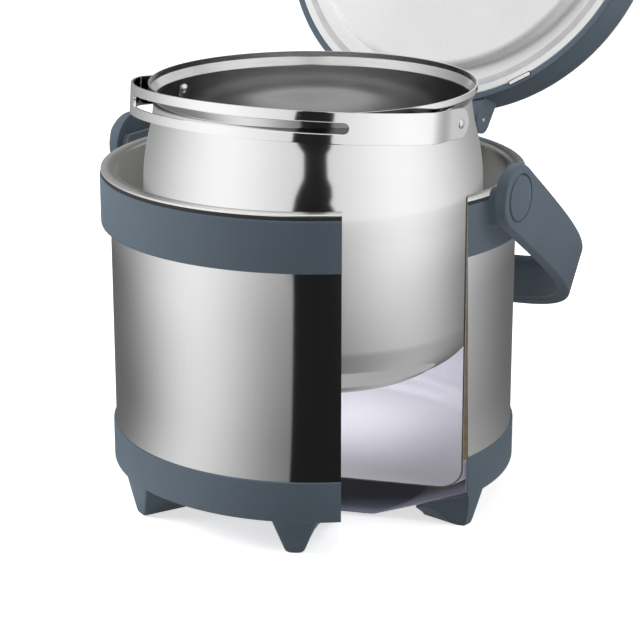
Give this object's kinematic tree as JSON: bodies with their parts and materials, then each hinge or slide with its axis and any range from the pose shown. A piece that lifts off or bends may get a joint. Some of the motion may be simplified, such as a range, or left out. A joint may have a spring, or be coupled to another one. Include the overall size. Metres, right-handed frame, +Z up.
{
  "type": "thermal cooker",
  "caption": "Double-walled cooking container with a cut-open wall, hinged lid and swinging carry handle, and a steel pot with a folding bail raised part way out of it",
  "frame": {"origin": "on the container's axis, in the plane that its feet stand on; the pan that closes the vacuum has its flat underside 2 mm above it", "axes": "+Z up out of the vessel; -Y is the front, +Y the rear, where the lid's hinge is; +X is the right, as seen from the front"},
  "size_m": [0.2818, 0.3969, 0.4508],
  "materials": {
    "vessel_steel": "satin",
    "body_steel": "satin",
    "pan_steel": "satin",
    "pot_steel": "satin",
    "bail_steel": "satin",
    "fitting_steel": "bright",
    "foil": "bright",
    "base_aluminium": "plain",
    "grey_plastic": "satin",
    "white_plastic": "soft gloss",
    "dark_rubber": "matte",
    "pale_rubber": "matte",
    "foam": "matte"
  },
  "bodies": {
    "container": {"inner_vessel": "vessel_steel", "outer_shell": "body_steel", "radiation_foil": "foil", "outer_bottom": "pan_steel", "vacuum_seal": "fitting_steel", "getter": "fitting_steel", "collar": "grey_plastic", "lip_gasket": "dark_rubber", "base_ring": "grey_plastic", "hinge_bracket": "grey_plastic", "hinge_rod": "fitting_steel", "handle_pivot_pins": "fitting_steel"},
    "lid": {"lid_cover": "grey_plastic", "lid_liner": "white_plastic", "lid_seal": "pale_rubber", "lid_foam": "foam"},
    "handle": {"carry_handle": "grey_plastic", "handle_caps": "grey_plastic"},
    "pot": {"pot_body": "pot_steel", "pot_base_core": "base_aluminium", "pot_base_cover": "pot_steel", "bail_bosses": "fitting_steel", "bail_rivets": "fitting_steel"},
    "bail": {"pot_bail": "bail_steel"}
  },
  "joints": [
    {"name": "lid_hinge", "type": "hinge", "parent": "container", "child": "lid", "pos_m": [0, 0.133, 0.211], "axis": [1, 0, 0], "range_deg": [0, 115]},
    {"name": "handle_swing", "type": "hinge", "parent": "container", "child": "handle", "pos_m": [0, 0, 0.2], "axis": [1, 0, 0], "range_deg": [0, 28]},
    {"name": "pot_lift", "type": "slide", "parent": "container", "child": "pot", "axis": [0, 0, 1], "range_m": [-0.0578, 0]},
    {"name": "bail_swing", "type": "hinge", "parent": "pot", "child": "bail", "pos_m": [0, 0, 0.239], "axis": [-1, 0, 0], "range_deg": [0, 168]}
  ],
  "couplings": [
    {"joint": "pot_lift", "follows": "lid_hinge", "m_per_rad": -0.028748}
  ]
}
